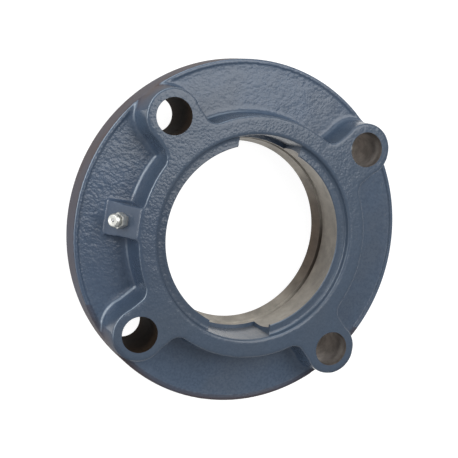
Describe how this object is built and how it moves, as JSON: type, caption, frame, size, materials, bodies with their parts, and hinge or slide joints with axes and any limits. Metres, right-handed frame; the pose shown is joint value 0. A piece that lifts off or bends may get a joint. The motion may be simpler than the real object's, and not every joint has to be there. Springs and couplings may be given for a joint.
{
  "type": "flanged bearing housing",
  "caption": "Round flanged cast housing for an insert bearing, with a spherical seat, loading slots, bolt bosses, a centring spigot and a grease nipple.",
  "frame": {"origin": "centre of the machined mounting face of the flange, on the bore axis", "axes": "+Z along the bore axis towards the front, +Y to 12 o'clock, nipple at 9 o'clock on -X"},
  "size_m": [0.1792, 0.1792, 0.043],
  "materials": {
    "painted_casting": "thin blue-grey paint on sand-cast grey iron, bare turned seat and drilled holes",
    "zinc_steel": "bright zinc plate",
    "ball_steel": "polished hardened steel",
    "spring_steel": "drawn spring wire"
  },
  "bodies": {
    "casting": {"housing": "painted_casting", "nipple_body": "zinc_steel", "nipple_spring": "spring_steel"},
    "check_ball": {"nipple_ball": "ball_steel"}
  },
  "joints": [
    {"name": "ball_lift", "type": "slide", "parent": "casting", "child": "check_ball", "axis": [0.788, 0, -0.6157], "range_m": [0, 0.0009], "stiffness_N_per_m": 400, "springref_m": -0.002, "deforming": ["nipple_spring"]}
  ]
}
